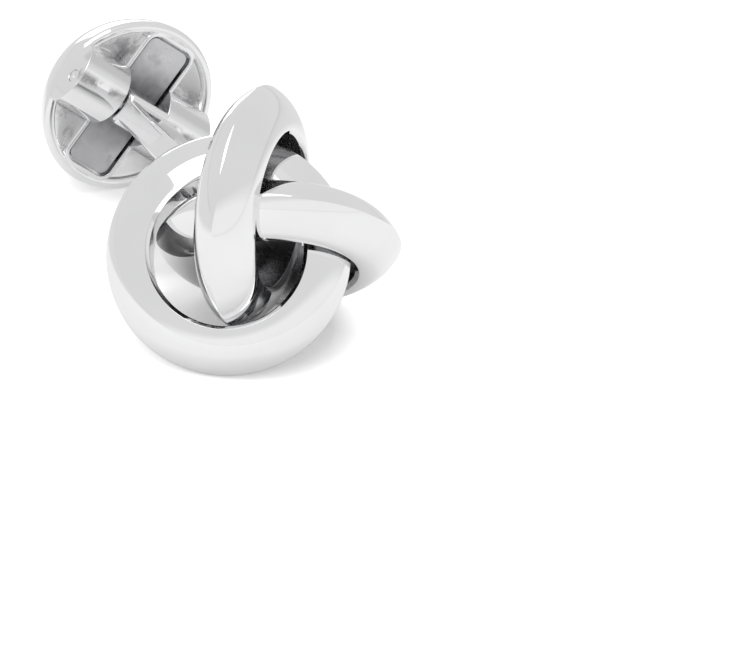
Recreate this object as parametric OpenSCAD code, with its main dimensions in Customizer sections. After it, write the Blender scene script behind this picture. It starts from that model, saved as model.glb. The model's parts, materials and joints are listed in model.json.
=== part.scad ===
// A knot cufflink. Three equal domed rings are threaded through one another and carried on a
// straight post. A round toggle turns on a pin across the post's end, against a leaf spring.
// Lengths are in millimetres. Every piece is drawn upright, with the hinge pin along X at the
// origin and the post along Z towards the knot. lay_down() then rests the finished part on
// its side, on two rings of the knot and the toggle.

/* [Knot rings] */
// Thickness of a ring from its bore to where its two faces would meet
ring_t = 2.7; // [2.2:0.02:3.4]
// Width of a ring along its own axis, at the outer edge of the bevel
ring_w = 3.74; // [3.2:0.02:4.6]
// How far each face of a ring bulges past a flat cone
ring_dome = 0.42; // [0.2:0.02:0.5]
// Radius that softens the ridge
ridge_round = 0.3; // [0.15:0.05:0.5]
// Bevel between each face and the bore
bore_bevel = 0.24; // [0.15:0.01:0.4]
// Least gap between two rings where they pass through each other
ring_gap = 0.05; // [0.03:0.01:0.2]
// Lean of each ring's axis away from the post
ring_lean = 46.5; // [44:0.5:49]

/* [Post] */
// Distance from the hinge pin to the middle of the knot
post_l = 17; // [15:0.1:20]
// Width of the post along the hinge pin
post_w = 3.1; // [2.4:0.1:3.6]
// Thickness of the post above the knuckle
post_t = 1.6; // [1.3:0.05:1.7]
// Rounding of the post's four long edges
post_edge = 0.25; // [0.1:0.05:0.4]
// Distance from the hinge pin to each flat of the square knuckle
cam_r = 1.08; // [1:0.02:1.3]
// Rounding between the knuckle's flats
cam_edge = 0.38; // [0.3:0.02:0.6]
// Radius of the round foot under the knot
foot_r = 2.15; // [1.8:0.05:2.4]
// Thickness of the foot's edge
foot_edge_t = 0.5; // [0.3:0.05:0.8]
// Radius of the hollow flare that runs from the post into the foot
flare_r = 1.75; // [1.2:0.05:2.4]
// Length of the round spigot inside the knot
spigot_l = 2.4; // [1.6:0.1:3]

/* [Toggle] */
// Radius of the toggle's dome at the level of its rim
toggle_r = 5.5; // [5:0.05:6.4]
// Depth of the toggle's dome behind its rim
dome_h = 4.85; // [4:0.05:5.2]
// Depth of the toggle's rim below the hinge pin
face_drop = 0.92; // [0.92:0.01:1]
// Width of the half round rim
rim_w = 0.7; // [0.5:0.02:0.8]
// Depth of the four dished pockets in the middle
pocket_h = 1.4; // [1:0.1:2]
// Width of the crossbar at the level of the rim
bar_w = 4; // [3.7:0.1:4.3]
// Height of the crossbar above the hinge pin
bar_h = 0.65; // [0.62:0.01:1]
// Distance from the toggle's axis to each end of the crossbar, at the pin
bar_reach = 5.26; // [4.9:0.02:5.3]
// Thickness of the wall round the spring's slot
slot_wall = 0.3; // [0.25:0.01:0.5]
// Radius of the slot's corners
slot_corner = 0.65; // [0.4:0.05:0.9]
// Depth of the well under the spring
well_h = 0.75; // [0.6:0.05:1]

/* [Hinge and spring] */
// Radius of the hinge pin
pin_r = 0.38; // [0.3:0.01:0.42]
// Gap between the pin and the post
pin_run_gap = 0.03; // [0.02:0.005:0.08]
// Gap between the pin and the toggle that holds it
pin_hold_gap = 0.01; // [0.01:0.005:0.02]
// Depth of each end of the pin inside the crossbar
pin_inset = 0.04; // [0.02:0.01:0.2]
// Gap on each side of the post in the slot
post_gap = 0.1; // [0.06:0.01:0.2]
// Length of the leaf spring
leaf_l = 8.8; // [8:0.1:9]
// Thickness of the leaf spring
leaf_t = 0.4; // [0.3:0.05:0.5]
// Gap between the leaf spring and the slot all round
leaf_gap = 0.14; // [0.08:0.01:0.2]
// Length of the ledge that carries each end of the spring
ledge_l = 0.85; // [0.6:0.05:1.4]
// Gap between the knuckle and the spring, and under the spring's ends
seat_gap = 0.02; // [0.01:0.01:0.05]

/* [Hidden] */
$fn = 48;
ridge_steps = 24;
overrun = 1;
silver = [0.86, 0.87, 0.88];
satin_steel = [0.56, 0.56, 0.57];

// The three rings share one shape. Each sits with its centre out along its own direction and
// leans about that direction, so a turn of a third about the post carries one to the next.
upper_angle = 120;
right_angle = 0;
left_angle = -120;
offset_share = 0.318;
// Turn of the hinge about the post, counted from the right ring
hinge_angle = -12;

// Section of a ring: an arc on each side, drawn from the bevel's corner to the ridge
arc_rise = ring_t - bore_bevel;
arc_chord = norm([arc_rise, ring_w / 2]);
arc_r = (pow(arc_chord / 2, 2) + pow(ring_dome, 2)) / (2 * ring_dome);
arc_back = arc_r - ring_dome;
// Middle of the arc, counted from the bore outwards and from the ring's middle plane
arc_mid = [bore_bevel + arc_rise / 2 - arc_back * ring_w / 2 / arc_chord,
           ring_w / 4 - arc_back * arc_rise / arc_chord];
// The ridge's small circle touches both arcs from inside
ridge_mid = arc_mid[0] + sqrt(pow(arc_r - ridge_round, 2) - pow(arc_mid[1], 2));
ridge_touch = arc_mid[0] + (ridge_mid - arc_mid[0]) * arc_r / (arc_r - ridge_round);
bore_half_w = ring_w / 2 - bore_bevel;

// How far a point lies outside the section: u from the bore outwards, v along the ring's axis
function outside(u, v) = max(
    -u,
    (abs(v) - bore_half_w - u) / sqrt(2),
    norm([u - arc_mid[0], abs(v) - arc_mid[1]]) - arc_r);

// Points on the section's outline that can touch a neighbour
function arc_point(share) = let (
    from = atan2(ring_w / 2 - arc_mid[1], bore_bevel - arc_mid[0]),
    to = atan2(-arc_mid[1], ring_t - arc_mid[0]),
    a = from + (to - from) * share) arc_mid + arc_r * [cos(a), sin(a)];
half_outline = concat([[0, bore_half_w], [0, 0]], [for (share = [0:0.125:1]) arc_point(share)]);
outline = [for (p = half_outline, side = [1, -1]) [p[0], side * p[1]]];

function turned(p, a) = [p[0] * cos(a) - p[1] * sin(a), p[0] * sin(a) + p[1] * cos(a), p[2]];
function ring_axis(turn) = turned([0, -sin(ring_lean), cos(ring_lean)], turn);
function ring_side(turn) = turned([0, cos(ring_lean), sin(ring_lean)], turn);
function ring_out(turn) = turned([1, 0, 0], turn);
function offset_for(bore) = offset_share * (bore + ring_t / 2);

// Distance from a point, counted from the knot's middle, to the ring at one turn
function ring_distance(p, turn, bore) = let (
    q = p - offset_for(bore) * ring_out(turn), v = q * ring_axis(turn))
    outside(sqrt(q * q - v * v) - bore, v);
// Least distance from the right ring to the upper one, for one bore
function knot_gap(bore) = min([for (p = outline, a = [0:4:356]) ring_distance(
    offset_for(bore) * ring_out(right_angle) + p[1] * ring_axis(right_angle)
        + (bore + p[0]) * (cos(a) * ring_out(right_angle) + sin(a) * ring_side(right_angle)),
    upper_angle, bore)]);
// The bore is opened until the rings just clear one another
function fitted_bore(low, high, steps) = let (mid = (low + high) / 2)
    steps == 0 ? high
    : knot_gap(mid) < ring_gap ? fitted_bore(mid, high, steps - 1)
    : fitted_bore(low, mid, steps - 1);
ring_bore_r = fitted_bore(ring_w / 2, ring_w + ring_t, 14);
ring_offset = offset_for(ring_bore_r);
ring_ridge_r = ring_bore_r + ridge_mid;

// The foot is raised until its top edge just clears the rings, and the spigot fills the neck
function ring_clearance(r, z) = min([for (a = [0:3:357])
    ring_distance([r * cos(a), r * sin(a), z], right_angle, ring_bore_r)]);
function seat_height(r, low, high, steps) = let (mid = (low + high) / 2)
    steps == 0 ? low
    : ring_clearance(r, mid) > seat_gap ? seat_height(r, mid, high, steps - 1)
    : seat_height(r, low, mid, steps - 1);
foot_z = seat_height(foot_r, -ring_bore_r - ring_t, -ring_w / 2, 14);
neck_r = min([for (share = [0:0.05:1]) let (z = foot_z * share) ring_clearance(0, z)]) - seat_gap;
spigot_r = neck_r;

// The toggle's dome is a ball, cut off at the rim's level, and the rim is a half round bead
ball_r = (pow(toggle_r, 2) + pow(dome_h, 2)) / (2 * dome_h);
ball_z = -face_drop - dome_h + ball_r;
bead_r = rim_w / 2;
bead_z = -face_drop - bead_r;
bead_x = sqrt(pow(ball_r - bead_r, 2) - pow(bead_z - ball_z, 2));
bead_slope = (ball_z - bead_z) / bead_x;
dish_x = bead_x - bead_r;
dish_h = pocket_h - bead_r;
dish_r = (pow(dish_x, 2) + pow(dish_h, 2)) / (2 * dish_h);

// The crossbar is a round rod down to its middle, and straight sided below
bar_rise = bar_h + face_drop;
bar_r = (pow(bar_w / 2, 2) + pow(bar_rise, 2)) / (2 * bar_rise);
bar_z = bar_h - bar_r;
// Its ends lie on a ball about the dome's middle, so that they keep inside the dome below
bar_end_r = norm([bar_reach, ball_z]);

slot_w = post_w + 2 * post_gap;
slot_l = leaf_l + 2 * leaf_gap;
leaf_w = slot_w - 2 * leaf_gap;
leaf_top_z = -cam_r - seat_gap;
leaf_low_z = leaf_top_z - leaf_t;
ledge_z = leaf_low_z - seat_gap;
well_z = leaf_low_z - well_h;
pin_l = 2 * (bar_reach - pin_inset);
foot_top_z = post_l + foot_z;
foot_low_z = foot_top_z - foot_edge_t;
knot_at = [0, 0, post_l];

// How far the part reaches along a direction, counted from the hinge pin
rest_outline = [for (share = [0:1 / 32:1]) arc_point(share)];
function ring_turn(turn) = turn - hinge_angle;
function ring_reach(turn, dir) = let (
    along = ring_axis(ring_turn(turn)) * dir, across = sqrt(1 - along * along))
    (knot_at + ring_offset * ring_out(ring_turn(turn))) * dir + max(
        (ring_bore_r + ridge_mid) * across + ridge_round,
        max([for (p = rest_outline) if (p[0] <= ridge_touch)
            (ring_bore_r + p[0]) * across + p[1] * abs(along)]));
function toggle_reach(dir) = let (across = sqrt(1 - dir[2] * dir[2])) max(
    dir[2] < -sin(atan(bead_slope)) ? ball_z * dir[2] + ball_r : -post_l,
    bead_x * across + bead_z * dir[2] + bead_r,
    bar_reach * across + bar_z * dir[2]);
function part_reach(dir) = max(ring_reach(upper_angle, dir), ring_reach(right_angle, dir),
    ring_reach(left_angle, dir), toggle_reach(dir));

// The part lies still when its right ring, left ring and toggle reach down equally far
function down_for(lie) = [cos(lie[0]) * cos(lie[1]), sin(lie[0]) * cos(lie[1]), -sin(lie[1])];
function misfit(lie) = let (down = down_for(lie), left = ring_reach(left_angle, down))
    [left - ring_reach(right_angle, down), left - toggle_reach(down)];
small_angle = 0.1;
function settle(lie, steps) = steps == 0 ? lie : let (
    f = misfit(lie),
    fa = (misfit(lie + [small_angle, 0]) - f) / small_angle,
    fb = (misfit(lie + [0, small_angle]) - f) / small_angle,
    det = fa[0] * fb[1] - fb[0] * fa[1])
    settle(lie - [(f[0] * fb[1] - f[1] * fb[0]) / det, (fa[0] * f[1] - fa[1] * f[0]) / det], steps - 1);
first_lie = [ring_turn(left_angle / 2), 12];
lie = settle(first_lie, 6);
up = -down_for(lie);
level = [0, 0, -1] + [0, 0, 1] * up * up;
back = level / norm(level);
right = cross(back, up);
shift_x = (part_reach(-right) - part_reach(right)) / 2;
shift_y = (part_reach(-back) - part_reach(back)) / 2;
shift_z = part_reach(-up);

module lay_down() multmatrix([
    concat(right, shift_x),
    concat(back, shift_y),
    concat(up, shift_z),
    [0, 0, 0, 1]])
    children();

module ring_section() translate([ring_bore_r, 0]) {
    intersection() {
        translate(arc_mid) circle(arc_r);
        translate([arc_mid[0], -arc_mid[1]]) circle(arc_r);
        polygon([
            [0, -bore_half_w],
            [ridge_touch, -bore_half_w - ridge_touch],
            [ridge_touch, bore_half_w + ridge_touch],
            [0, bore_half_w]]);
    }
    translate([ridge_mid, 0]) circle(ridge_round, $fn = ridge_steps);
}

// One ring, leaned about the direction in which its centre sits
module ring(turn) color(silver) lay_down()
    translate(knot_at) rotate([0, 0, ring_turn(turn)])
        translate([ring_offset, 0, 0]) rotate([ring_lean, 0, 0])
            rotate_extrude() ring_section();

module ring_upper() ring(upper_angle);
module ring_right() ring(right_angle);
module ring_left() ring(left_angle);

module rounded(size, corner) {
    square([size[0] - 2 * corner, size[1]], center = true);
    square([size[0], size[1] - 2 * corner], center = true);
    for (x = [-1, 1], y = [-1, 1]) translate([x * (size[0] / 2 - corner), y * (size[1] / 2 - corner)])
        circle(corner, $fn = ridge_steps);
}

// Half section of the foot: a hollow flare, the foot's straight edge and the spigot
module foot_section() {
    difference() {
        translate([0, foot_low_z - flare_r]) square([foot_r, foot_edge_t + flare_r]);
        translate([foot_r, foot_low_z - flare_r]) circle(flare_r);
    }
    translate([0, foot_top_z - foot_edge_t]) square([spigot_r, foot_edge_t + spigot_l]);
}

module post() color(silver) lay_down() difference() {
    union() {
        rotate([90, 0, 90]) linear_extrude(post_w, center = true) rounded([2 * cam_r, 2 * cam_r], cam_edge);
        linear_extrude(foot_top_z - foot_edge_t / 2) rounded([post_w, post_t], post_edge);
        rotate_extrude() foot_section();
    }
    rotate([0, 90, 0]) cylinder(h = post_w + 2 * overrun, r = pin_r + pin_run_gap, center = true);
}

// Half section of the toggle's body, without its crossbar and slot
module dish_section() {
    difference() {
        intersection() {
            translate([0, ball_z]) circle(ball_r);
            polygon([
                [0, -face_drop - dome_h - overrun],
                [toggle_r + overrun, -face_drop - dome_h - overrun],
                [toggle_r + overrun, ball_z - (toggle_r + overrun) * bead_slope],
                [bead_x, bead_z],
                [0, bead_z]]);
        }
        translate([0, bead_z - dish_h + dish_r]) circle(dish_r);
    }
    translate([bead_x, bead_z]) circle(bead_r, $fn = ridge_steps);
}

module crossbar() intersection() {
    rotate([90, 0, 90]) linear_extrude(2 * toggle_r, center = true) {
        translate([0, bar_z]) circle(bar_r);
        translate([-bar_r, -face_drop - pocket_h]) square([2 * bar_r, pocket_h + face_drop + bar_z]);
    }
    translate([0, 0, ball_z]) sphere(bar_end_r);
}

module slot_frame() translate([0, 0, well_z]) linear_extrude(-well_z - face_drop) intersection() {
    rounded([slot_w + 2 * slot_wall, slot_l + 2 * slot_wall], slot_corner + slot_wall);
    circle(bead_x);
}

module toggle_button() color(silver) lay_down() difference() {
    union() {
        rotate_extrude() dish_section();
        crossbar();
        slot_frame();
    }
    translate([0, 0, ledge_z]) linear_extrude(bar_h - ledge_z + overrun) rounded([slot_w, slot_l], slot_corner);
    translate([0, 0, well_z]) linear_extrude(-well_z) rounded([slot_w, slot_l - 2 * ledge_l], slot_corner);
    rotate([0, 90, 0]) cylinder(h = 2 * toggle_r, r = pin_r + pin_hold_gap, center = true);
}

module leaf_spring() color(satin_steel) lay_down() translate([0, 0, leaf_low_z])
    linear_extrude(leaf_t) rounded([leaf_w, leaf_l], slot_corner - leaf_gap);

module hinge_pin() color(satin_steel) lay_down()
    rotate([0, 90, 0]) cylinder(h = pin_l, r = pin_r, center = true);

ring_upper();
ring_right();
ring_left();
post();
toggle_button();
leaf_spring();
hinge_pin();
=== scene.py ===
"""A knot cufflink: polished silver rings, post and toggle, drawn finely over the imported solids."""
import json
import math

import bmesh
import bpy
from mathutils import Matrix, Vector

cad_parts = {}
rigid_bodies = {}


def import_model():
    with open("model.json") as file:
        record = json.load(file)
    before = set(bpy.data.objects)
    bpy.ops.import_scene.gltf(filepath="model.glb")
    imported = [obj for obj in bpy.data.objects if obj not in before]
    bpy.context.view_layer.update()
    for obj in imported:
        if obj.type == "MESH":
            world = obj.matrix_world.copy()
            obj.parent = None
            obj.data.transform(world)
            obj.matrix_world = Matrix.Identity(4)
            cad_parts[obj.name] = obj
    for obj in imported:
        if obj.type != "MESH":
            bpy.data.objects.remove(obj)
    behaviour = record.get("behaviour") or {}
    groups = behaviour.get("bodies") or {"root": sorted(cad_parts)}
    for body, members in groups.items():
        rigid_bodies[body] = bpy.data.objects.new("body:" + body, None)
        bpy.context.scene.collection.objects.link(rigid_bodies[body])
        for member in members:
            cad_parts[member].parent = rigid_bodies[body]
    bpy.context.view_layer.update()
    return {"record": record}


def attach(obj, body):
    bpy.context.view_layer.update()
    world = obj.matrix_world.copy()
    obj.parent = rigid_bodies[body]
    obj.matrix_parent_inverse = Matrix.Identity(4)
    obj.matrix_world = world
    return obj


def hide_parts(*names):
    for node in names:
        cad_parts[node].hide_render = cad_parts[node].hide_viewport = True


# Blender's own starting objects go first.
for left_over in list(bpy.data.objects):
    bpy.data.objects.remove(left_over)
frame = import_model()

# Sizes in millimetres, as in the part's source. Each piece is drawn upright, with the hinge pin
# along X at the origin and the post along Z towards the knot.
MM = 0.001
RING_T = 2.7
RING_W = 3.74
RING_DOME = 0.42
RIDGE_ROUND = 0.3
BORE_BEVEL = 0.24
RING_LEAN = math.radians(46.5)
RING_BORE = 4.51566  # where the source's solver finds that the threaded rings just clear
RING_OFFSET = 1.86528  # a ring's centre from the post's axis, by the same solver
RING_TURNS = {"ring_upper": 120, "ring_right": 0, "ring_left": -120}
HINGE_ANGLE = -12
POST_L = 17.0
POST_W = 3.1
POST_T = 1.6
POST_EDGE = 0.25
CAM_R = 1.08
CAM_EDGE = 0.38
FOOT_R = 2.15
FOOT_EDGE_T = 0.5
FOOT_TOP = POST_L - 4.85344  # just under the rings' lowest points
FLARE_R = 1.75
SPIGOT_R = 1.48866  # just inside the three rings
SPIGOT_L = 2.4
TOGGLE_R = 5.5
DOME_H = 4.85
FACE_DROP = 0.92
BEAD_R = 0.35
POCKET_H = 1.4
BAR_W = 4.0
BAR_H = 0.65
BAR_REACH = 5.26
SLOT_WALL = 0.3
SLOT_CORNER = 0.65
WELL_H = 0.75
PIN_R = 0.38
PIN_RUN_GAP = 0.03
PIN_HOLD_GAP = 0.01
PIN_INSET = 0.04
PIN_EDGE = 0.03
PIN_PIT = 0.09
POST_GAP = 0.1
LEAF_L = 8.8
LEAF_T = 0.4
LEAF_GAP = 0.14
LEDGE_L = 0.85
SEAT_GAP = 0.02

SLOT_W = POST_W + 2 * POST_GAP
SLOT_L = LEAF_L + 2 * LEAF_GAP
LEAF_TOP = -CAM_R - SEAT_GAP
LEAF_LOW = LEAF_TOP - LEAF_T
LEDGE_Z = LEAF_LOW - SEAT_GAP
WELL_Z = LEAF_LOW - WELL_H
FINE_EDGE = 0.05  # how far a polished edge is eased
SAME_POINT = 1e-4  # points nearer than this are one
HAIR = 1e-3  # rise between two loops on one level, by which the bridge knows its way
SMOOTH = math.radians(35)  # faces that meet flatter than this shade as one


def lay_down():
    """The turn, shift and scale from the drawing, in millimetres, to the part's own frame, in metres."""
    hinge = frame["record"]["behaviour"]["joints"][0]
    post_dir = -Vector(frame["record"]["mounts"][0]["axis"]).normalized()
    side_dir = post_dir.cross(Vector(hinge["axis"])).normalized()
    pin_dir = side_dir.cross(post_dir)
    turn = Matrix((pin_dir, side_dir, post_dir)).transposed().to_4x4()
    return Matrix.Translation(hinge["pos_m"]) @ turn @ Matrix.Scale(MM, 4)


LAY = lay_down()
HINGE = LAY.translation
KNOT = LAY @ Vector((0, 0, POST_L))
SIDE_DIR, POST_DIR = (LAY.col[k].to_3d().normalized() for k in (1, 2))


def finish(bm, name, body, node, materials, cutter=None):
    """Lays a drawn piece down, shades it and lets it stand for its node on its body."""
    bmesh.ops.remove_doubles(bm, verts=bm.verts, dist=SAME_POINT)
    bmesh.ops.recalc_face_normals(bm, faces=bm.faces)
    piece = new_object(name, bm, materials)
    if cutter:
        cut_through(piece, cutter)
    drawn = bmesh.new()
    drawn.from_mesh(piece.data)
    bmesh.ops.dissolve_degenerate(drawn, dist=SAME_POINT, edges=drawn.edges)
    bmesh.ops.transform(drawn, matrix=LAY, verts=drawn.verts)
    for face in drawn.faces:
        face.smooth = True
    for edge in drawn.edges:
        edge.smooth = len(edge.link_faces) != 2 or edge.calc_face_angle(0) < SMOOTH
    drawn.to_mesh(piece.data)
    drawn.free()
    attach(piece, body)
    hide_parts(node)
    return piece


def new_object(name, bm, materials=()):
    """Turns a drawing into an object and frees the drawing."""
    mesh = bpy.data.meshes.new(name)
    bm.to_mesh(mesh)
    bm.free()
    for material in materials:
        mesh.materials.append(material)
    made = bpy.data.objects.new(name, mesh)
    bpy.context.scene.collection.objects.link(made)
    return made


def cut_through(piece, radius):
    """Drills the pin's hole through a piece, along X."""
    bm = bmesh.new()
    bmesh.ops.create_cone(bm, cap_ends=True, segments=72, radius1=radius, radius2=radius,
                          depth=4 * TOGGLE_R, matrix=Matrix.Rotation(math.pi / 2, 4, "Y"))
    drill = new_object("drill", bm)
    cut = piece.modifiers.new("pin_hole", "BOOLEAN")
    cut.operation = "DIFFERENCE"
    cut.solver = "EXACT"
    cut.object = drill
    drilled = bpy.data.meshes.new_from_object(piece.evaluated_get(bpy.context.evaluated_depsgraph_get()))
    piece.modifiers.clear()
    piece.data = drilled
    bpy.data.objects.remove(drill)


def arc(middle, radius, start, end, steps):
    """Points of an arc from one angle to another, both ends included."""
    turns = [start + (end - start) * k / steps for k in range(steps + 1)]
    return [(middle[0] + radius * math.cos(a), middle[1] + radius * math.sin(a)) for a in turns]


def quarter(steps):
    """Shares by which an eased edge draws in and rises, from the flat to the upright."""
    turns = [math.pi / 2 * k / steps for k in range(steps + 1)]
    return [(1 - math.sin(a), 1 - math.cos(a)) for a in turns]


def spin(bm, outline, steps, closed=False):
    """Turns an outline of (radius, height) points round Z."""
    verts = [bm.verts.new((r, 0, z)) for r, z in outline]
    pairs = list(zip(verts, verts[1:] + verts[:1])) if closed else list(zip(verts, verts[1:]))
    edges = [bm.edges.new(pair) for pair in pairs]
    bmesh.ops.spin(bm, geom=verts + edges, axis=(0, 0, 1), cent=(0, 0, 0), angle=math.tau, steps=steps,
                   use_merge=True)


def carry(bm, loops):
    """Bridges closed loops of equal length one after another, and fills the two ends."""
    rows = []
    for loop in loops:
        verts = [bm.verts.new(point) for point in loop]
        rows.append([bm.edges.new(pair) for pair in zip(verts, verts[1:] + verts[:1])])
    for low, high in zip(rows, rows[1:]):
        bmesh.ops.bridge_loops(bm, edges=low + high)
    for end in (rows[0], rows[-1]):
        bmesh.ops.triangle_fill(bm, edges=end, use_beauty=True)


def smooth_max(a, b, blend):
    """The larger of two values, rounded over where they are near each other."""
    near = max(blend - abs(a - b), 0) / blend
    return max(a, b) + near * near * blend / 4


def smooth_min(a, b, blend):
    return -smooth_max(-a, -b, blend)


class Value:
    """One output of a node, which adds Math nodes when it is used in a sum."""

    def __init__(self, graph, socket):
        self.graph, self.socket = graph, socket

    def _joined(self, operation, *terms):
        return self.graph.value("ShaderNodeMath", "Value", {"operation": operation}, dict(enumerate(terms)))

    def __add__(self, other):
        return self._joined("ADD", self, other)

    def __sub__(self, other):
        return self._joined("SUBTRACT", self, other)

    def __rsub__(self, other):
        return self._joined("SUBTRACT", other, self)

    def __mul__(self, other):
        return self._joined("MULTIPLY", self, other)

    def __abs__(self):
        return self._joined("ABSOLUTE", self)

    __radd__ = __add__
    __rmul__ = __mul__


class Graph:
    """The nodes of one material or world."""

    def __init__(self, owner):
        owner.use_nodes = True
        self.tree = owner.node_tree

    def node(self, kind, settings=None, sockets=None):
        """Adds a node, with its settings first and then the values or links of its sockets."""
        made = self.tree.nodes.new(kind)
        for key, setting in (settings or {}).items():
            setattr(made, key, setting)
        self.fill(made, sockets or {})
        return made

    def fill(self, made, sockets):
        for key, given in sockets.items():
            if isinstance(given, Value):
                self.tree.links.new(given.socket, made.inputs[key])
            else:
                made.inputs[key].default_value = given

    def value(self, kind, output, settings=None, sockets=None):
        return Value(self, self.node(kind, settings, sockets).outputs[output])

    def place(self):
        """Where a point lies in the part's own frame, in metres."""
        return self.value("ShaderNodeTexCoord", "Object")

    def vector(self, operation, first, second=(0, 0, 0), output="Vector"):
        return self.value("ShaderNodeVectorMath", output, {"operation": operation}, {0: first, 1: second})

    def noise(self, cycles, detail=2.0, stretch=(1, 1, 1), turn=(0, 0, 0)):
        """Noise in the part's own frame, in cycles per metre."""
        along = self.value("ShaderNodeMapping", "Vector", {"vector_type": "TEXTURE"},
                           {"Vector": self.place(), "Rotation": turn, "Scale": stretch})
        return self.value("ShaderNodeTexNoise", "Fac", None,
                          {"Vector": along, "Scale": cycles, "Detail": detail, "Roughness": 0.5})

    def spread(self, source, low, high, to_low=0.0, to_high=1.0):
        """Carries one range of values onto another and holds it there."""
        return self.value("ShaderNodeMapRange", "Result", {"clamp": True}, {
            "Value": source, "From Min": low, "From Max": high, "To Min": to_low, "To Max": to_high})

    def tint(self, share, first, second):
        a, b = (c if isinstance(c, Value) else (*c, 1) for c in (first, second))
        return self.value("ShaderNodeMix", "Result", {"data_type": "RGBA"},
                          {"Factor": share, "A": a, "B": b})

    def relief(self, height, strength, depth):
        return self.value("ShaderNodeBump", "Normal", None,
                          {"Height": height, "Strength": strength, "Distance": depth})


# Noise is given in cycles per metre.
SMEAR_CYCLES = 260.0
WAVE_CYCLES = 420.0
DENT_CYCLES = 1100.0
WIPE_STRETCH = (1, 14, 1)  # how long the wiping marks are for their width
WIPE_TURN = (0.4, 0.7, 0.5)
RELIEF_STRENGTH = 0.16
RELIEF_DEPTH = 0.02 * MM
SHADE_ROUGH = 0.5  # roughness added where the painted shade is full
SHADE_DENTS = 8.0  # depth of the dents where the painted shade is full, against the polish's own waves


def metal(name, pale, dull, rough, hair_cycles, hair_depth, wave_depth, painted_shade=None, shade_colour=None):
    """Metal with faint smears, fine wiping marks and the slight waviness of hand polishing.

    The last two arguments give a mask that says where shade is painted into its colour, with more roughness
    and dents there, and the colour of that painted shade."""
    material = bpy.data.materials.new(name)
    graph = Graph(material)
    smear = graph.noise(SMEAR_CYCLES, 3.0)
    hairs = graph.noise(hair_cycles, 2.0, WIPE_STRETCH, WIPE_TURN)
    wave = graph.noise(WAVE_CYCLES, 1.0)
    gloss = graph.spread(smear, 0.3, 0.75, rough * 0.7, rough * 1.5)
    gloss = gloss + graph.spread(hairs, 0.55, 0.8, 0.0, rough * 0.6)
    tone = graph.tint(graph.spread(smear, 0.35, 0.7), pale, dull)
    height = wave * wave_depth + hairs * hair_depth
    # Painted shade: where the mask is one, the colour goes over to the painted shade's colour, with more
    # roughness and dents.
    if painted_shade:
        share = painted_shade(graph)
        gloss = gloss + share * SHADE_ROUGH
        tone = graph.tint(share, tone, shade_colour)
        height = height + share * graph.noise(DENT_CYCLES, 1.0) * SHADE_DENTS
    graph.fill(graph.tree.nodes["Principled BSDF"], {
        "Metallic": 1.0, "Base Color": tone, "Roughness": gloss,
        "Normal": graph.relief(height, RELIEF_STRENGTH, RELIEF_DEPTH)})
    return material


CORE_R = 3.4 * MM  # the middle of the knot, where shade is painted into the metal
CORE_END_R = 3.9 * MM
POCKET_FULL_SHADE = -1.5 * MM  # height over the pin's axis below which the pockets are fully shaded in paint
POCKET_NO_SHADE = -0.7 * MM
STREAK_SIDE = 0.5 * MM  # how far beside the pin's axis the crossbar's painted dark reflection streak runs
FLANK_SIDE = 1.5 * MM  # and the band of painted shade on its flank
CORNER_SIDE = -2.0 * MM  # and the painted dark line of shade where its other flank meets the pockets
KNUCKLE_SHADE_SIDE = 1.6 * MM  # how far to each side of the pin's axis the leaf is fully shaded in paint
# how far out the painted shade under the knuckle ends
KNUCKLE_SHADE_END = 4.0 * MM


def painted_knot_shade(graph):
    """One in the middle of the knot, where shade is painted into the metal."""
    off = graph.vector("DISTANCE", graph.place(), KNOT, "Value")
    return graph.spread(off, CORE_R, CORE_END_R, 1.0, 0.0)


def in_pockets(graph, from_hinge, height):
    """One in the toggle's cast pockets, nought on its rim, its crossbar and its dome."""
    across = graph.vector("LENGTH", graph.vector("CROSS_PRODUCT", from_hinge, POST_DIR), output="Value")
    from_ball = graph.vector("DISTANCE", graph.place(), LAY @ Vector((0, 0, BALL_Z)), "Value")
    low = graph.spread(height, POCKET_FULL_SHADE, POCKET_NO_SHADE, 1.0, 0.0)
    low = low * graph.spread(across, (DISH_X - 0.2) * MM, (DISH_X + 0.1) * MM, 1.0, 0.0)
    return low * graph.spread(from_ball, (BALL_R - 0.5) * MM, (BALL_R - 0.2) * MM, 1.0, 0.0)


def bar_streaks(graph, side, height):
    """Painted reflection and shade along the crossbar: a broken dark reflection streak beside its top and
    an even band of painted shade on its flank.
    """
    cloud = graph.noise(1300.0, 3.0)
    wander = cloud * (0.2 * MM)
    streak = graph.spread(abs(side - STREAK_SIDE + wander), 0.1 * MM, 0.42 * MM, 1.0, 0.0)
    streak = streak * graph.spread(cloud, 0.4, 0.56) * graph.spread(height, 0.1 * MM, 0.3 * MM)
    flank = graph.spread(abs(side - FLANK_SIDE), 0.15 * MM, 0.4 * MM, 0.36, 0.0)
    streak = streak * 0.85 + flank * graph.spread(height, -0.6 * MM, -0.2 * MM)
    return streak * graph.spread(height, 0.7 * MM, 0.8 * MM, 1.0, 0.0)


def painted_toggle_shade(graph):
    """Painted shade on the toggle: a little in its pockets with darker blots as painted dark reflections, a
    dark line of shade along their edge, and dark reflection streaks on the crossbar.
    """
    from_hinge = graph.vector("SUBTRACT", graph.place(), HINGE)
    height = graph.vector("DOT_PRODUCT", from_hinge, POST_DIR, "Value")
    side = graph.vector("DOT_PRODUCT", from_hinge, SIDE_DIR, "Value")
    corner = graph.spread(abs(side - CORNER_SIDE), 0.06 * MM, 0.26 * MM, 0.7, 0.0)
    corner = corner * graph.spread(height, -0.6 * MM, -0.4 * MM, 1.0, 0.0)
    blots = graph.spread(graph.noise(800.0, 2.0), 0.55, 0.68)
    pockets = in_pockets(graph, from_hinge, height)
    # Painted shade and reflections: pockets, their corner line and the crossbar's streaks are darkened.
    return pockets * (0.24 + blots * 0.5 + corner) + bar_streaks(graph, side, height)


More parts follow.
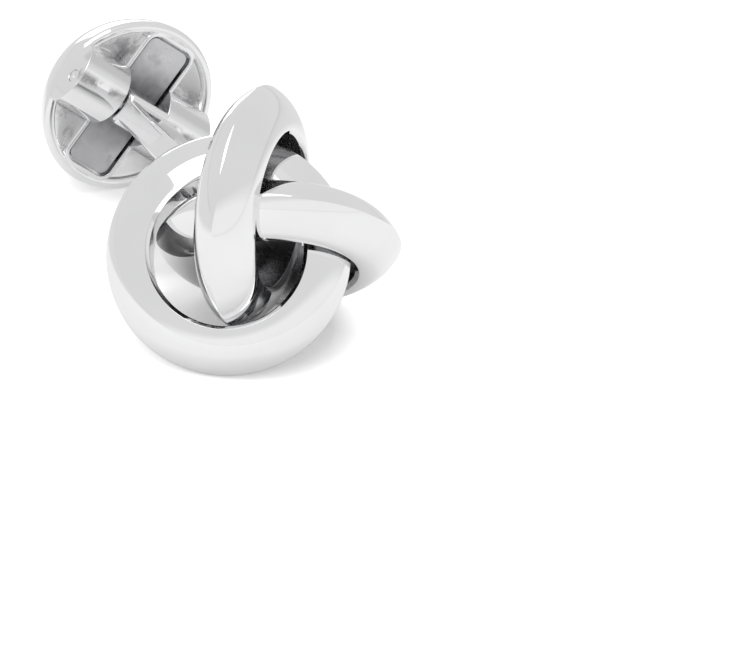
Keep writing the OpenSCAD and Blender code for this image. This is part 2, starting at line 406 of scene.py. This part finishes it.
def shade_under_knuckle(graph):
    """One under the knuckle, where shade is painted onto the leaf, with a few darker blots farther out."""
    off = graph.vector("DOT_PRODUCT", graph.vector("SUBTRACT", graph.place(), HINGE), SIDE_DIR, "Value")
    cloud = graph.noise(900.0, 3.0)
    near = graph.spread(abs(off) + cloud * KNUCKLE_SHADE_SIDE, KNUCKLE_SHADE_SIDE, KNUCKLE_SHADE_END, 0.9, 0.0)
    return near + graph.spread(cloud, 0.6, 0.75, 0.0, 0.3)


def ring_section():
    """Closed outline of a ring's section, from the bore outwards over both domed faces."""
    rise = RING_T - BORE_BEVEL
    chord = math.hypot(rise, RING_W / 2)
    radius = ((chord / 2) ** 2 + RING_DOME ** 2) / (2 * RING_DOME)
    back = radius - RING_DOME
    middle = (BORE_BEVEL + rise / 2 - back * RING_W / 2 / chord, RING_W / 4 - back * rise / chord)
    ridge_mid = middle[0] + math.sqrt((radius - RIDGE_ROUND) ** 2 - middle[1] ** 2)
    start = math.atan2(RING_W / 2 - middle[1], BORE_BEVEL - middle[0])
    tip = math.atan2(-middle[1], ridge_mid - middle[0])
    bore_half = RING_W / 2 - BORE_BEVEL
    ease = FINE_EDGE * math.tan(math.pi / 8)
    bore_corner = arc((FINE_EDGE, bore_half - ease), FINE_EDGE, math.pi, math.pi * 3 / 4, 5)
    face = arc(middle, radius, start, tip, 44)
    shoulder = eased_corner(bore_corner[-1], face[0], face[2], FINE_EDGE, 5)
    half = [(0, 0), (0, bore_half / 2), *bore_corner, *shoulder, *face[2:]]
    half += arc((ridge_mid, 0), RIDGE_ROUND, tip, 0, 10)[1:]
    lower = [(u, -v) for u, v in reversed(half[1:-1])]
    return [(RING_BORE + u, v) for u, v in half + lower]


def eased_corner(before, corner, after, radius, steps):
    """An arc in place of a corner between two straight stretches."""
    corner = Vector(corner)
    back, ahead = (Vector(p) - corner for p in (before, after))
    half = back.angle(ahead) / 2
    cut = min(radius / math.tan(half), back.length * 0.9, ahead.length * 0.9)
    centre = corner + (back.normalized() + ahead.normalized()).normalized() * (cut / math.cos(half))
    first = corner + back.normalized() * cut - centre
    last = corner + ahead.normalized() * cut - centre
    turn = math.atan2(first.x * last.y - first.y * last.x, first.dot(last))
    return [tuple(centre + Matrix.Rotation(turn * k / steps, 2) @ first) for k in range(steps + 1)]


def ring(node, turn, bore):
    """One ring of the knot, leaned about the direction in which its centre sits."""
    bm = bmesh.new()
    spin(bm, ring_section(), 288, closed=True)
    bmesh.ops.remove_doubles(bm, verts=bm.verts, dist=SAME_POINT)
    for face in bm.faces:
        middle = face.calc_center_median()
        face.material_index = int(middle.xy.length < RING_BORE + FINE_EDGE / 4)
    pose = (Matrix.Translation((0, 0, POST_L)) @ Matrix.Rotation(turn, 4, "Z")
            @ Matrix.Translation((RING_OFFSET, 0, 0)) @ Matrix.Rotation(RING_LEAN, 4, "X"))
    bmesh.ops.transform(bm, matrix=pose, verts=bm.verts)
    finish(bm, node + "_fine", "knot", node, (silver, bore))


def rounded_loop(half_w, half_l, corner, per_side, per_end, per_corner):
    """A closed rounded rectangle, counter-clockwise from the middle of its +X side."""
    side = [(half_w, (half_l - corner) * k / per_side) for k in range(per_side)]
    turn = arc((half_w - corner, half_l - corner), corner, 0, math.pi / 2, per_corner)
    end = [((half_w - corner) * (1 - k / per_end), half_l) for k in range(1, per_end + 1)]
    return mirrored(side + turn + end)


def mirrored(first):
    """Completes a closed loop from its first quarter, which runs from +X to +Y."""
    second = [(-x, y) for x, y in reversed(first[:-1])]
    half = first + second
    return half + [(-x, -y) for x, y in half[1:-1]]


KNUCKLE_SLOPE = 8  # how steeply the knuckle ends under the shaft
KNUCKLE_BLEND = 0.12  # blend where the knuckle runs over into the shaft
FLARE_BLEND = 0.4  # blend where the shaft runs over into the flare
SHAFT_LINES = [2.5, 4.5, 6.5, 8.5]  # heights of the shaft's plain loops


def post_thickness(z):
    """Half the thickness of the post: the rounded square knuckle runs over into the flat shaft."""
    flat = CAM_R - CAM_EDGE
    over = max(abs(z) - flat, 0)
    knuckle = flat + math.sqrt(max(CAM_EDGE ** 2 - over ** 2, 0)) - KNUCKLE_SLOPE * max(abs(z) - CAM_R, 0)
    return smooth_max(knuckle, POST_T / 2, KNUCKLE_BLEND) if z > 0 else knuckle


def post_loop(z, flare):
    """The post's section at one height, pushed out to the round flare where that is wider."""
    draw_in = max(FINE_EDGE - (z + CAM_R), 0)
    half_w = POST_W / 2 - (FINE_EDGE - math.sqrt(FINE_EDGE ** 2 - draw_in ** 2))
    points = []
    for x, y in rounded_loop(half_w, post_thickness(z), POST_EDGE, 7, 16, 8):
        reach = math.hypot(x, y)
        wider = smooth_max(reach, flare, FLARE_BLEND) if flare else reach
        points.append((x * wider / reach, y * wider / reach, z))
    return points


def post():
    """The post from the rounded knuckle round the pin to the foot and the spigot inside the knot."""
    flare_start = FOOT_TOP - FOOT_EDGE_T - FLARE_R
    flat = CAM_R - CAM_EDGE
    heights = [-flat - CAM_EDGE * math.cos(math.pi / 2 * k / 9) for k in range(10)]
    heights += [-flat / 2, 0, flat / 2]
    heights += [flat + CAM_EDGE * math.sin(math.pi / 2 * k / 9) for k in range(10)]
    heights += [CAM_R + FINE_EDGE * k for k in range(1, 6)] + SHAFT_LINES + [flare_start - 0.5]
    loops = [post_loop(z, 0) for z in heights]
    for k in range(29):
        turn = math.pi / 2 * k / 28
        loops.append(post_loop(flare_start + FLARE_R * math.sin(turn), FOOT_R - FLARE_R * math.cos(turn)))
    directions = [Vector((x, y)).normalized() for x, y, z in loops[-1]]
    rim = [(FOOT_R, FOOT_TOP - FOOT_EDGE_T / 2)]
    rim += [(FOOT_R - FINE_EDGE * rise, FOOT_TOP - FINE_EDGE * draw) for draw, rise in quarter(4)]
    rim += [(SPIGOT_R, FOOT_TOP + HAIR), (SPIGOT_R, FOOT_TOP + SPIGOT_L / 2)]
    rim += [(SPIGOT_R - FINE_EDGE * rise, FOOT_TOP + SPIGOT_L - FINE_EDGE * draw)
            for draw, rise in quarter(4)]
    loops += [[(d.x * r, d.y * r, z) for d in directions] for r, z in rim]
    bm = bmesh.new()
    carry(bm, loops)
    finish(bm, "post_fine", "knot", "post", (casting,), PIN_R + PIN_RUN_GAP)


BALL_R = (TOGGLE_R ** 2 + DOME_H ** 2) / (2 * DOME_H)
BALL_Z = -FACE_DROP - DOME_H + BALL_R
BEAD_Z = -FACE_DROP - BEAD_R
BEAD_X = math.sqrt((BALL_R - BEAD_R) ** 2 - (BEAD_Z - BALL_Z) ** 2)
DISH_X = BEAD_X - BEAD_R
DISH_H = POCKET_H - BEAD_R
DISH_R = (DISH_X ** 2 + DISH_H ** 2) / (2 * DISH_H)
BAR_RISE = BAR_H + FACE_DROP
BAR_R = ((BAR_W / 2) ** 2 + BAR_RISE ** 2) / (2 * BAR_RISE)
BAR_Z = BAR_H - BAR_R
BAR_END_R = math.hypot(BAR_REACH, BALL_Z)
WALL_SLOPE = 7.0  # steepness of the cast walls inside the toggle
END_SLOPE = 14.0  # steepness of the crossbar's ends
FILLET = 0.35  # blend where the cast walls meet the dish
RIM_FILLET = 0.1  # blend where the crossbar meets the rim
BEAD_BLEND = 0.06  # blend where the dish meets the rim's bead
END_BLEND = 0.25  # blend where the crossbar's top meets its ends
DEEP = -9.0  # lower than anything on the toggle
WELL_ACROSS = 0.99  # the well's width in the slot's, so that every face of its ledge has an area
WELL_ALONG = (SLOT_L - 2 * LEDGE_L) / SLOT_L  # the well's length in the slot's
SLOT_EASE = 1.4 * FINE_EDGE  # rounding of the slot's edge
NEAR_LOOPS, FAR_LOOPS = 34, 16  # loops close to the slot, and from there to the rim
NEAR_REACH = 0.75  # how far out the close loops go
NEAR_SHARE = 0.4  # and for how much of the way at most
SHORT_WAY, SHORT_SHARE = 0.8, 0.6  # a short way, and how much of it they take up
RIM_STEP = 0.03  # between loops over the rim
END_FROM = BAR_REACH - 0.08  # where the crossbar's steep ends begin
END_STEP = 0.008  # between loops over the steep ends
BEAD_TURN = math.radians(20)  # how far up the rim's bead the face's loops go
NEAR_POLE = -math.pi / 2 * 0.993  # just short of the dome's pole, so that the last loop has an area


def round_top(q, radius, middle, slope):
    """Height of a round top at distance q from its middle, which runs out in a straight slope."""
    turn_over = radius * slope / math.hypot(1, slope)
    if q < turn_over:
        return middle + math.sqrt(radius * radius - q * q)
    return middle + radius / math.hypot(1, slope) - slope * (q - turn_over)


def slot_distance(x, y):
    """How far a point lies outside the slot's rounded outline."""
    out_x = abs(x) - SLOT_W / 2 + SLOT_CORNER
    out_y = abs(y) - SLOT_L / 2 + SLOT_CORNER
    return math.hypot(max(out_x, 0), max(out_y, 0)) + min(max(out_x, out_y), 0) - SLOT_CORNER


def toggle_height(x, y):
    """Height of the toggle's cast face: dish, rim, the wall round the slot and the crossbar."""
    r = math.hypot(x, y)
    dish = BEAD_Z - DISH_H + DISH_R - math.sqrt(DISH_R ** 2 - min(r, DISH_X) ** 2)
    rim = BEAD_Z + math.sqrt(max(BEAD_R ** 2 - (r - BEAD_X) ** 2, 0)) if r > DISH_X else DEEP
    wall_half = SLOT_WALL / 2
    off = slot_distance(x, y) - wall_half
    wall = round_top(max(off, 0), wall_half, -FACE_DROP - wall_half, WALL_SLOPE)
    bar = smooth_min(round_top(abs(y), BAR_R, BAR_Z, WALL_SLOPE),
                     round_top(r, BAR_END_R, BALL_Z, END_SLOPE), END_BLEND)
    ground = smooth_max(dish, wall, FILLET) if r < DISH_X else max(dish, wall)
    if r > DISH_X - FILLET:
        ground = smooth_max(ground, rim, BEAD_BLEND)
    return smooth_max(ground, bar, FILLET if r < DISH_X else RIM_FILLET)


# Lines along the crossbar, close together where its walls stand steep.
BAR_LINES = [0, 0.12, 0.24, 0.36, 0.48, 0.6, 0.72, 0.84, 0.96, 1.08, 1.2, 1.32, 1.44, 1.54, 1.64, 1.72,
             1.8, 1.86, 1.92, 1.96, 2.0, 2.03, 2.06, 2.09, 2.12, 2.15, 2.18, 2.21, 2.25, 2.3, 2.36, 2.44]
CROWN_R = BAR_LINES[-1] * 1.4  # inside this radius the dome's loops are drawn in towards the pole


def slot_quarter():
    """First quarter of the slot's outline. Beside the crossbar its points lie on the bar's own lines."""
    half_w, straight = SLOT_W / 2, SLOT_L / 2 - SLOT_CORNER
    beyond = [(half_w, BAR_LINES[-1] + (straight - BAR_LINES[-1]) * k / 18) for k in range(1, 18)]
    turn = arc((half_w - SLOT_CORNER, straight), SLOT_CORNER, 0, math.pi / 2, 12)
    end = [((half_w - SLOT_CORNER) * (1 - k / 14), SLOT_L / 2) for k in range(1, 15)]
    return [(half_w, y) for y in BAR_LINES] + beyond + turn + end


def rim_quarter(inner, radius):
    """Where each point of the slot's quarter goes on a circle: straight out beside the crossbar."""
    count = len(BAR_LINES)
    steps = [math.dist(a, b) for a, b in zip(inner[count - 1:], inner[count:])]
    run, total = 0, sum(steps)
    points = [(math.sqrt(radius ** 2 - y ** 2), y) for y in BAR_LINES]
    first = math.asin(BAR_LINES[-1] / radius)
    for step in steps:
        run += step
        turn = first + (math.pi / 2 - first) * run / total
        points.append((radius * math.cos(turn), radius * math.sin(turn)))
    return points


def crown_quarter(slot, radius):
    """The rim's points drawn in towards the dome's pole, where the bar's lines would leave the circle."""
    return [(x * radius / CROWN_R, y * radius / CROWN_R) for x, y in rim_quarter(slot, CROWN_R)]


def eased_height(x, y):
    """The face's height, with the slot's inner edge rounded over."""
    off = max(SLOT_EASE - max(slot_distance(x, y), 0), 0)
    return toggle_height(x, y) - (SLOT_EASE - math.sqrt(SLOT_EASE ** 2 - off ** 2))


def at_height(quarter_points, height):
    """A closed loop at one height, or at the height that a function gives for each point."""
    return [(x, y, height(x, y) if callable(height) else height) for x, y in mirrored(quarter_points)]


def well_and_slot(slot):
    """Loops from the well's floor over its ledges and up the slot's wall."""
    well = [(x * WELL_ACROSS, y * WELL_ALONG) for x, y in slot]
    loops = [at_height(well, WELL_Z), at_height(well, (WELL_Z + LEDGE_Z) / 2), at_height(well, LEDGE_Z),
             at_height(slot, LEDGE_Z + HAIR)]
    for k in range(1, 7):
        loops.append([(x, y, LEDGE_Z + (toggle_height(x, y) - SLOT_EASE - LEDGE_Z) * k / 6)
                      for x, y in mirrored(slot)])
    return loops


def slot_to_rim(slot, edge, k):
    """The kth loop on the way from the slot's outline to the rim, with more of them near the slot."""
    moved = []
    for a, b in zip(slot, edge):
        length = math.dist(a, b)
        reach = min(NEAR_SHARE, NEAR_REACH / length) if length > SHORT_WAY else SHORT_SHARE
        along = reach * k / NEAR_LOOPS
        if k > NEAR_LOOPS:
            along = reach + (1 - reach) * (k - NEAR_LOOPS) / FAR_LOOPS
        moved.append((a[0] + (b[0] - a[0]) * along, a[1] + (b[1] - a[1]) * along))
    return moved


def rim_radii():
    """Radii of the loops over the rim, close together at the crossbar's steep ends."""
    radii = [DISH_X + RIM_STEP * k for k in range(1, int((END_FROM - DISH_X) / RIM_STEP))]
    radii += [END_FROM + END_STEP * k for k in range(26)]
    bead_out = BEAD_X + BEAD_R * math.cos(BEAD_TURN)
    return [r for r in radii if r < bead_out]


def dome_outline(start_r):
    """The toggle's outline from a radius on the rim's bead over the dome to its pole."""
    touch = math.atan2(BEAD_Z - BALL_Z, BEAD_X)
    turn_in = math.acos((start_r - BEAD_X) / BEAD_R)
    bead = arc((BEAD_X, BEAD_Z), BEAD_R, turn_in, touch, 14)
    return bead[1:] + arc((0, BALL_Z), BALL_R, touch, NEAR_POLE, 84)[1:]


def toggle_button():
    """The toggle as one casting, from the well's floor over the face and the rim to the dome's pole."""
    slot = slot_quarter()
    edge = rim_quarter(slot, DISH_X)
    loops = well_and_slot(slot)
    for k in range(1, NEAR_LOOPS + FAR_LOOPS + 1):
        loops.append(at_height(slot_to_rim(slot, edge, k), eased_height))
    radii = rim_radii()
    loops += [at_height(rim_quarter(slot, r), toggle_height) for r in radii]
    for r, z in dome_outline(radii[-1]):
        round_it = rim_quarter if r > CROWN_R else crown_quarter
        loops.append(at_height(round_it(slot, r), z))
    bm = bmesh.new()
    carry(bm, loops)
    finish(bm, "toggle_button_fine", "toggle", "toggle_button", (casting,), PIN_R + PIN_HOLD_GAP)


def plate(bm, width, length, corner, low, high, ease):
    """A flat plate with round corners and eased edges."""
    flat = Matrix.Translation((0, 0, low)) @ Matrix.Diagonal((width, length, 1, 1))
    made = bmesh.ops.create_grid(bm, x_segments=1, y_segments=1, size=0.5, matrix=flat)
    bmesh.ops.bevel(bm, geom=made["verts"], offset=corner, affect="VERTICES", segments=12, profile=0.5,
                    material=-1)
    raised = bmesh.ops.extrude_face_region(bm, geom=bm.faces[:])["geom"]
    upper = [v for v in raised if isinstance(v, bmesh.types.BMVert)]
    bmesh.ops.translate(bm, vec=(0, 0, high - low), verts=upper)
    bmesh.ops.recalc_face_normals(bm, faces=bm.faces)
    shared = [e for e in bm.edges if len(e.link_faces) == 2]
    rims = [e for e in shared if abs(e.verts[0].co.z - e.verts[1].co.z) < SAME_POINT]
    bmesh.ops.bevel(bm, geom=rims, offset=ease, affect="EDGES", segments=4, profile=0.5, material=-1)


def leaf_spring():
    """The flat leaf, which lies in the slot on the well's two ledges."""
    bm = bmesh.new()
    plate(bm, SLOT_W - 2 * LEAF_GAP, LEAF_L, SLOT_CORNER - LEAF_GAP, LEAF_LOW, LEAF_TOP, FINE_EDGE)
    finish(bm, "leaf_spring_fine", "toggle", "leaf_spring", (spring_steel,))


def hinge_pin():
    """The pin, with eased ends that carry a small turning pit."""
    half = BAR_REACH - PIN_INSET
    end = [(0, half - PIN_PIT), (PIN_PIT, half - PIN_PIT / 2), (PIN_PIT * 1.3, half)]
    end += arc((PIN_R - PIN_EDGE, half - PIN_EDGE), PIN_EDGE, math.pi / 2, 0, 4)
    bm = bmesh.new()
    spin(bm, end + [(r, -z) for r, z in reversed(end)], 64)
    bmesh.ops.rotate(bm, cent=(0, 0, 0), matrix=Matrix.Rotation(math.pi / 2, 3, "Y"), verts=bm.verts)
    finish(bm, "hinge_pin_fine", "toggle", "hinge_pin", (pin_steel,))


# Metals. The rings' bores carry painted shade; the bore of the ring that faces the viewer is painted paler
# than the other two.
# Colour of the painted shade in the middle of the knot.
KNOT_SHADE_COLOUR = (0.14, 0.14, 0.145)
silver = metal(
    "polished_silver", pale=(0.875, 0.875, 0.88), dull=(0.845, 0.845, 0.85), rough=0.035,
    hair_cycles=9000.0, hair_depth=0.012, wave_depth=1.0, painted_shade=painted_knot_shade, shade_colour=KNOT_SHADE_COLOUR)
casting = metal(
    "polished_casting", pale=(0.865, 0.865, 0.87), dull=(0.83, 0.83, 0.835), rough=0.07,
    hair_cycles=9000.0, hair_depth=0.02, wave_depth=2.0, painted_shade=painted_toggle_shade, shade_colour=(0.36, 0.36, 0.365))
lightly_shaded_bore = metal(
    "bore_with_light_painted_shade", pale=(0.72, 0.72, 0.725), dull=(0.6, 0.6, 0.605), rough=0.1,
    hair_cycles=7000.0, hair_depth=0.04, wave_depth=2.0, painted_shade=painted_knot_shade, shade_colour=KNOT_SHADE_COLOUR)
darkly_shaded_bore = metal(
    "bore_with_dark_painted_shade", pale=(0.34, 0.34, 0.345), dull=(0.26, 0.26, 0.265), rough=0.2,
    hair_cycles=7000.0, hair_depth=0.05, wave_depth=2.0)
spring_steel = metal(
    "satin_spring_steel", pale=(0.6, 0.6, 0.61), dull=(0.5, 0.5, 0.515), rough=0.28,
    hair_cycles=5200.0, hair_depth=0.6, wave_depth=1.0, painted_shade=shade_under_knuckle, shade_colour=(0.24, 0.24, 0.25))
pin_steel = metal(
    "polished_pin", pale=(0.85, 0.85, 0.855), dull=(0.8, 0.8, 0.805), rough=0.08,
    hair_cycles=7000.0, hair_depth=0.1, wave_depth=1.0)

for ring_node, ring_turn in RING_TURNS.items():
    # Painted shade: the bore of the ring that faces the viewer is painted lighter than the other two.
    bore_metal = lightly_shaded_bore if ring_node == "ring_left" else darkly_shaded_bore
    ring(ring_node, math.radians(ring_turn - HINGE_ANGLE), bore_metal)
post()
toggle_button()
leaf_spring()
hinge_pin()

# Camera. VIEW holds the photograph's right, up and towards-the-viewer in the part's frame.
VIEW = ((0.9133, -0.4036, 0.0538), (0.1619, 0.4811, 0.8616), (-0.3736, -0.7782, 0.5047))
PX_PER_MM = 17.0
KNOT_PX = (253.4, 234.5)  # where the knot's middle lies in the photograph
IMAGE = (735, 660)
LENS = 800.0
FILM_W = 36.0
SIGHT_SHARE = 0.62  # how far along the post, from the hinge to the knot, the camera looks


def set_camera():
    """Looks at the part from far away, turned a little so that the knot falls where it does."""
    right, up, back = (Vector(row).normalized() for row in VIEW)
    middle = LAY @ Vector((0, 0, POST_L * SIGHT_SHARE))
    from_knot = middle - KNOT
    px = (KNOT_PX[0] + from_knot.dot(right) / MM * PX_PER_MM - IMAGE[0] / 2,
          KNOT_PX[1] - from_knot.dot(up) / MM * PX_PER_MM - IMAGE[1] / 2)
    film = LENS * IMAGE[0] / FILM_W
    sight = Vector((px[0], -px[1], -film)).normalized()
    distance = film / PX_PER_MM * MM
    level = Matrix((right, up, back)).transposed()
    tilt = sight.rotation_difference(Vector((0, 0, -1))).to_matrix()
    data = bpy.data.cameras.new("camera")
    data.lens, data.sensor_width = LENS, FILM_W
    data.clip_start, data.clip_end = distance * 0.1, distance * 10
    made = bpy.data.objects.new("camera", data)
    bpy.context.scene.collection.objects.link(made)
    made.matrix_world = Matrix.Translation(middle + back * distance) @ (level @ tilt).to_4x4()
    bpy.context.scene.camera = made


# Surroundings. The floor glows for the camera and in reflections only, and lights nothing else.
FRONT_DOWN = (0.0, -0.63, -0.78)  # low towards the viewer
KNOT_FOOT = (0.0, -7.5 * MM, 0.0)  # the middle of the knot on the floor
TOGGLE_FOOT = (0.0, 11 * MM, 0.0)  # the middle of the toggle on the floor
POST_FOOT = (-1.4 * MM, 0.8 * MM, 0.0)  # the darker spot painted on the floor under the post, seen through the knot
OVER_PART = (0.0, 4 * MM, 16 * MM)  # from where the floor's glow in the metal is judged
FLOOR_HALF = 3.0  # in metres
FLOOR_PALE = 0.93
FLOOR_DIMMED = 0.23  # how much darker the floor's own colour is painted in reflections
SEEN_GLOW = 0.55
REFLECTED_GLOW = 0.3


def tent_front(graph, towards, low, high):
    """Brightness of the surroundings by direction: the bright floor runs up towards the viewer."""
    facing = graph.vector("DOT_PRODUCT", towards, FRONT_DOWN, "Value")
    return graph.spread(facing, 0.17, 0.35, low, high)


def round_foot(graph, foot, inner, outer, within, beyond):
    """Carries one value inside a round spot on the floor over to another outside it."""
    off = graph.vector("DISTANCE", graph.place(), foot, "Value")
    return graph.spread(off, inner * MM, outer * MM, within, beyond)


def painted_floor_reflection(graph):
    """Painted reflection of the floor: how bright reflections show it, brightest towards the viewer and
    round the toggle, dark under the knot.
    """
    towards = graph.vector("NORMALIZE", graph.vector("SUBTRACT", graph.place(), OVER_PART))
    glow = graph.value("ShaderNodeMath", "Value", {"operation": "MAXIMUM"}, {
        0: tent_front(graph, towards, 0.33, 1.0), 1: round_foot(graph, TOGGLE_FOOT, 12, 24, 1.0, 0.0)})
    return glow * round_foot(graph, KNOT_FOOT, 4, 10, 0.0, 1.0)


def make_floor():
    """A pale floor that shows white; its glow is cut in round spots round the knot, the toggle and the
    post, which paints shadow there on top of the part's own shadow.
    """
    material = bpy.data.materials.new("plain_floor")
    graph = Graph(material)
    path = graph.node("ShaderNodeLightPath")
    seen, in_metal = (Value(graph, path.outputs[key]) for key in ("Is Camera Ray", "Is Glossy Ray"))
    # Painted shadow: round spots where the floor's glow is cut, so the floor shows darker there.
    glow_outside_painted_shadows = round_foot(graph, KNOT_FOOT, 5.2, 7.2, 0.36, 1.0)
    glow_outside_painted_shadows = glow_outside_painted_shadows * round_foot(graph, TOGGLE_FOOT, 2.5, 5.0, 0.5, 1.0)
    glow_outside_painted_shadows = glow_outside_painted_shadows * round_foot(graph, POST_FOOT, 1.5, 3.4, 0.12, 1.0)
    # Painted light: the camera sees the masked glow, reflections see the painted floor reflection.
    glow = seen * glow_outside_painted_shadows * SEEN_GLOW + in_metal * painted_floor_reflection(graph) * REFLECTED_GLOW
    graph.fill(graph.tree.nodes["Principled BSDF"], {
        "Base Color": FLOOR_PALE - in_metal * FLOOR_DIMMED, "Roughness": 0.9,
        "Specular IOR Level": 0.0, "Emission Color": glow, "Emission Strength": 1.0})
    bm = bmesh.new()
    bmesh.ops.create_grid(bm, x_segments=1, y_segments=1, size=FLOOR_HALF)
    made = new_object("floor", bm, (material,))


# Lamps, in metres.
KEY_PLACE = (-0.17, 0.0, 0.6)  # high on the left
KEY_SIZE = (0.34, 0.54)
KEY_STRENGTH = 1.65
CARD_PLACE = (0.006, 0.03, 0.0105)  # close behind the toggle
CARD_SIZE = (0.0155, 0.007)
CARD_STRENGTH = 1.2
LAMP_ON_FLOOR = 0.3  # share of a lamp's light that lights the floor, against what the metal mirrors


def softbox(name, place, size, strength, turn=0):
    """An area light whose own brightness is given. Unturned, it lies level and shines down."""
    data = bpy.data.lights.new(name, "AREA")
    data.shape = "RECTANGLE"
    data.size, data.size_y = size
    data.energy = strength * math.pi * size[0] * size[1]
    data.diffuse_factor = LAMP_ON_FLOOR
    lamp = bpy.data.objects.new(name, data)
    bpy.context.scene.collection.objects.link(lamp)
    lamp.location = place
    lamp.rotation_euler = (turn, 0, 0)


def make_world():
    """A pale tent, brighter low towards the viewer and straight above."""
    world = bpy.data.worlds.new("tent")
    bpy.context.scene.world = world
    graph = Graph(world)
    towards = graph.value("ShaderNodeTexCoord", "Generated")
    height = graph.value("ShaderNodeSeparateXYZ", "Z", None, {0: towards})
    level = tent_front(graph, towards, 0.79, 0.97) + graph.spread(height, 0.93, 1.0, 0.0, 0.08)
    graph.fill(graph.tree.nodes["Background"], {"Color": level, "Strength": 1.0})


set_camera()
make_floor()
softbox("key", KEY_PLACE, KEY_SIZE, KEY_STRENGTH)
softbox("low_card_behind_the_toggle", CARD_PLACE, CARD_SIZE, CARD_STRENGTH, -math.pi / 2)
make_world()
bpy.context.scene.view_settings.view_transform = "Standard"
bpy.context.scene.cycles.max_bounces = 16
bpy.context.scene.cycles.glossy_bounces = 14
